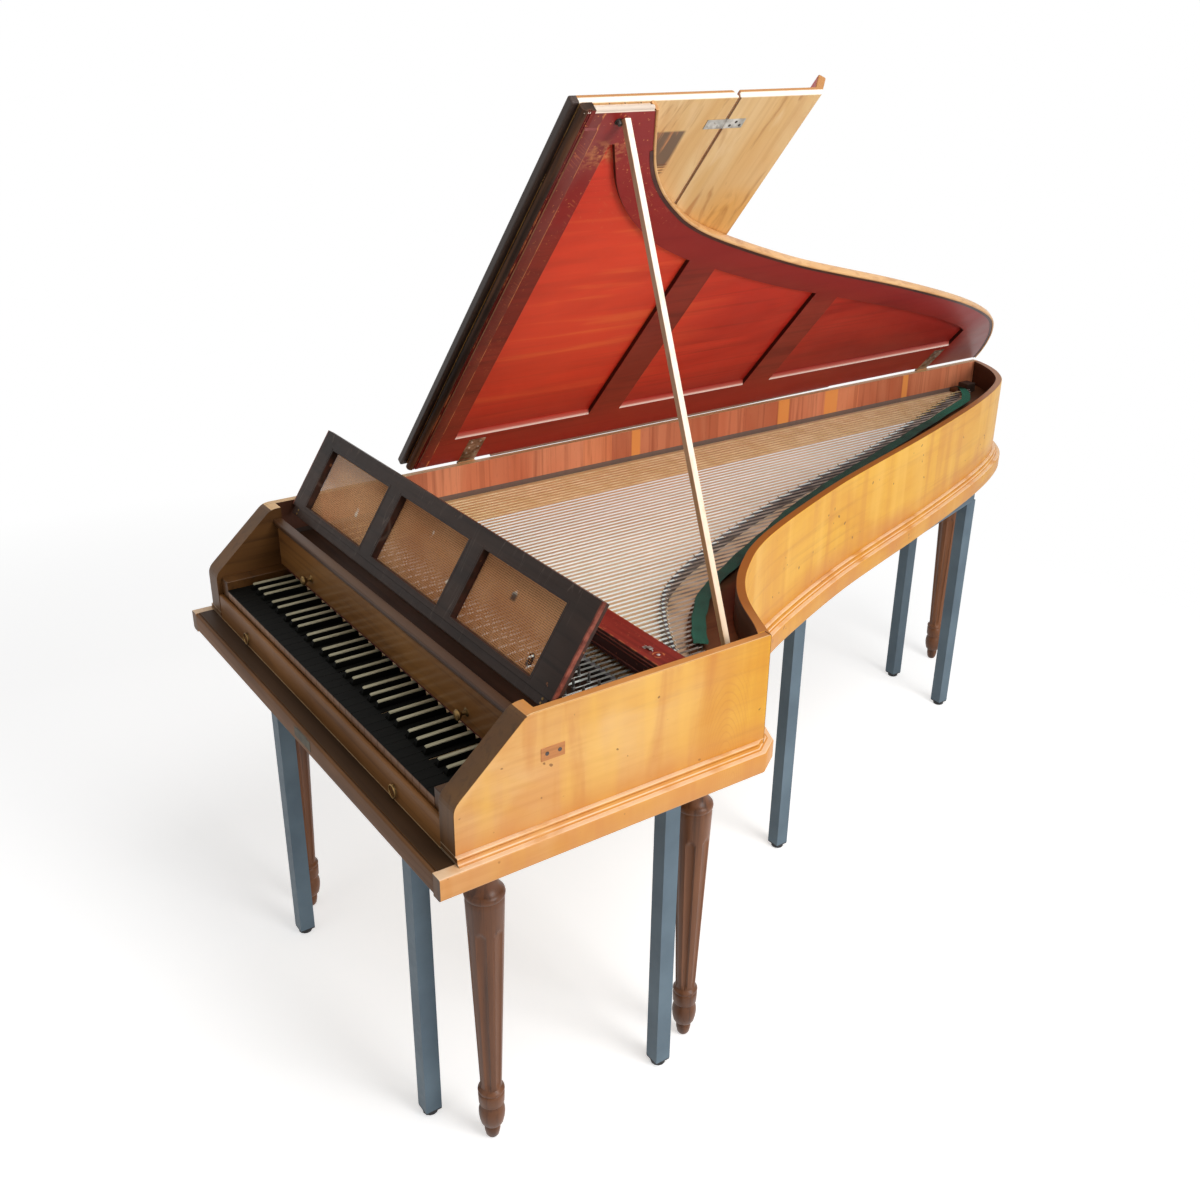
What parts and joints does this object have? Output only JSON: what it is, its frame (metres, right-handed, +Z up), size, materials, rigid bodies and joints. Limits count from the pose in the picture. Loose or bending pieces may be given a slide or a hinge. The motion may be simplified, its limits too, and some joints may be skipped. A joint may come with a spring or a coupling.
{
  "type": "fortepiano",
  "caption": "Wing-shaped keyboard instrument with a hinged lid, folding flaps and desk, hammer action and strings, carried on a steel stand beside its turned legs.",
  "frame": {"origin": "middle of the bounding box at floor level", "axes": "+Z up, +Y from the player towards the tail, +X towards the treble"},
  "size_m": [1.027, 2.2056, 1.6327],
  "materials": {
    "honey": "clear varnish over fruitwood",
    "front_wood": "dark varnished veneer",
    "dark_wood": "dark stained wood",
    "red_wood": "red-brown varnished wood",
    "pale_wood": "plain planed wood",
    "spruce": "plain spruce",
    "walnut": "waxed walnut",
    "ebony": "polished ebony",
    "bone": "polished bone",
    "stand_paint": "blue-grey paint on steel",
    "foot_rubber": "black rubber",
    "brass": "aged brass",
    "wire": "drawn wire and plain steel",
    "green_cloth": "woven wool",
    "cane_cloth": "open woven cloth"
  },
  "bodies": {
    "case": {"spine": "honey", "cheek": "honey", "bentside": "honey", "plinth_moulding": "honey", "bottom_board": "pale_wood", "belly_rail": "pale_wood", "key_frame": "pale_wood", "escapement_rail": "pale_wood", "soundboard": "spruce", "hitchpin_rail": "dark_wood", "bridge": "dark_wood", "wrest_plank": "dark_wood", "nut": "dark_wood", "listing_cloth": "green_cloth", "strings": "wire", "key_block_bass": "front_wood", "key_block_treble": "front_wood", "stand_frame": "stand_paint", "rubber_foot_front_bass": "foot_rubber", "rubber_foot_front_middle": "foot_rubber", "rubber_foot_cheek": "foot_rubber", "rubber_foot_bentside": "foot_rubber", "rubber_foot_tail_treble": "foot_rubber", "rubber_foot_tail_bass": "foot_rubber", "leg_front_bass": "walnut", "leg_front_treble": "walnut", "leg_cheek": "walnut", "leg_tail": "walnut"},
    "lid": {"lid": "red_wood", "lid_hinge_front": "wire", "lid_hinge_rear": "wire"},
    "prop": {"prop_stick": "dark_wood"},
    "front_flap": {"front_flap": "red_wood", "flap_hinge_treble": "wire"},
    "fall_flap": {"fall_flap": "red_wood"},
    "desk": {"desk_frame": "dark_wood", "desk_cloth": "cane_cloth"},
    "nameboard": {"nameboard": "front_wood", "nameboard_knob_bass": "brass", "nameboard_knob_treble": "brass"},
    "damper_cover": {"damper_cover": "red_wood"},
    "damper_rail": {"damper_rail": "dark_wood"},
    "key_slip": {"key_slip": "front_wood"},
    "pull_bass": {"slip_pull_bass": "brass"},
    "pull_treble": {"slip_pull_treble": "brass"},
    "keys_1": {"naturals_1": "ebony", "sharps_1": "bone"},
    "hammers_1": {"hammers_1": "pale_wood"},
    "keys_2": {"naturals_2": "ebony", "sharps_2": "bone"},
    "hammers_2": {"hammers_2": "pale_wood"},
    "keys_3": {"naturals_3": "ebony", "sharps_3": "bone"},
    "hammers_3": {"hammers_3": "pale_wood"},
    "keys_4": {"naturals_4": "ebony", "sharps_4": "bone"},
    "hammers_4": {"hammers_4": "pale_wood"},
    "keys_5": {"naturals_5": "ebony", "sharps_5": "bone"},
    "hammers_5": {"hammers_5": "pale_wood"}
  },
  "joints": [
    {"name": "lid_hinge", "type": "hinge", "parent": "case", "child": "lid", "pos_m": [-0.47496, -0.56676, 0.867], "axis": [0, -1, 0], "range_deg": [-48.95, 0]},
    {"name": "prop_swing", "type": "hinge", "parent": "case", "child": "prop", "pos_m": [0.48404, -0.55976, 0.87], "axis": [0, -1, 0], "range_deg": [-202, 0]},
    {"name": "front_flap_hinge", "type": "hinge", "parent": "lid", "child": "front_flap", "pos_m": [-0.22178, -0.64626, 1.17693], "axis": [-0.6567, 0, -0.7541], "range_deg": [-180, 0]},
    {"name": "fall_flap_hinge", "type": "hinge", "parent": "front_flap", "child": "fall_flap", "pos_m": [-0.22185, -0.33816, 1.177], "axis": [-0.6567, 0, -0.7541], "range_deg": [-42, 0]},
    {"name": "desk_tilt", "type": "hinge", "parent": "case", "child": "desk", "pos_m": [0.01104, -0.89076, 0.8595], "axis": [1, 0, 0], "range_deg": [-57.3, 0]},
    {"name": "nameboard_lift", "type": "slide", "parent": "case", "child": "nameboard", "axis": [0, 0, 1], "range_m": [0, 0.1]},
    {"name": "damper_cover_lift", "type": "slide", "parent": "case", "child": "damper_cover", "axis": [0, 0, 1], "range_m": [0, 0.04]},
    {"name": "damper_rail_lift", "type": "slide", "parent": "case", "child": "damper_rail", "axis": [0, 0, 1], "range_m": [0, 0.005]},
    {"name": "key_slip_pull", "type": "slide", "parent": "case", "child": "key_slip", "axis": [0, -1, 0], "range_m": [0, 0.09]},
    {"name": "slip_pull_bass_swing", "type": "hinge", "parent": "key_slip", "child": "pull_bass", "pos_m": [-0.28496, -1.06976, 0.694], "axis": [-1, 0, 0], "range_deg": [0, 70]},
    {"name": "slip_pull_treble_swing", "type": "hinge", "parent": "key_slip", "child": "pull_treble", "pos_m": [0.30704, -1.06976, 0.694], "axis": [-1, 0, 0], "range_deg": [0, 70]},
    {"name": "keys_1_balance", "type": "hinge", "parent": "case", "child": "keys_1", "pos_m": [0.01104, -0.85676, 0.715], "axis": [1, 0, 0], "range_deg": [0, 2.25]},
    {"name": "hammers_1_pivot", "type": "hinge", "parent": "keys_1", "child": "hammers_1", "pos_m": [0.01104, -0.59176, 0.745], "axis": [1, 0, 0], "range_deg": [-19.5, 0]},
    {"name": "keys_2_balance", "type": "hinge", "parent": "case", "child": "keys_2", "pos_m": [0.01104, -0.85676, 0.715], "axis": [1, 0, 0], "range_deg": [0, 2.25]},
    {"name": "hammers_2_pivot", "type": "hinge", "parent": "keys_2", "child": "hammers_2", "pos_m": [0.01104, -0.59176, 0.745], "axis": [1, 0, 0], "range_deg": [-19.5, 0]},
    {"name": "keys_3_balance", "type": "hinge", "parent": "case", "child": "keys_3", "pos_m": [0.01104, -0.85676, 0.715], "axis": [1, 0, 0], "range_deg": [0, 2.25]},
    {"name": "hammers_3_pivot", "type": "hinge", "parent": "keys_3", "child": "hammers_3", "pos_m": [0.01104, -0.59176, 0.745], "axis": [1, 0, 0], "range_deg": [-19.5, 0]},
    {"name": "keys_4_balance", "type": "hinge", "parent": "case", "child": "keys_4", "pos_m": [0.01104, -0.85676, 0.715], "axis": [1, 0, 0], "range_deg": [0, 2.25]},
    {"name": "hammers_4_pivot", "type": "hinge", "parent": "keys_4", "child": "hammers_4", "pos_m": [0.01104, -0.59176, 0.745], "axis": [1, 0, 0], "range_deg": [-19.5, 0]},
    {"name": "keys_5_balance", "type": "hinge", "parent": "case", "child": "keys_5", "pos_m": [0.01104, -0.85676, 0.715], "axis": [1, 0, 0], "range_deg": [0, 2.25]},
    {"name": "hammers_5_pivot", "type": "hinge", "parent": "keys_5", "child": "hammers_5", "pos_m": [0.01104, -0.59176, 0.745], "axis": [1, 0, 0], "range_deg": [-19.5, 0]}
  ],
  "couplings": [
    {"joint": "prop_swing", "follows": "lid_hinge", "ratio": 4.12},
    {"joint": "desk_tilt", "follows": "front_flap_hinge", "ratio": 0.318},
    {"joint": "hammers_1_pivot", "follows": "keys_1_balance", "ratio": -8.5},
    {"joint": "hammers_2_pivot", "follows": "keys_2_balance", "ratio": -8.5},
    {"joint": "hammers_3_pivot", "follows": "keys_3_balance", "ratio": -8.5},
    {"joint": "hammers_4_pivot", "follows": "keys_4_balance", "ratio": -8.5},
    {"joint": "hammers_5_pivot", "follows": "keys_5_balance", "ratio": -8.5}
  ]
}
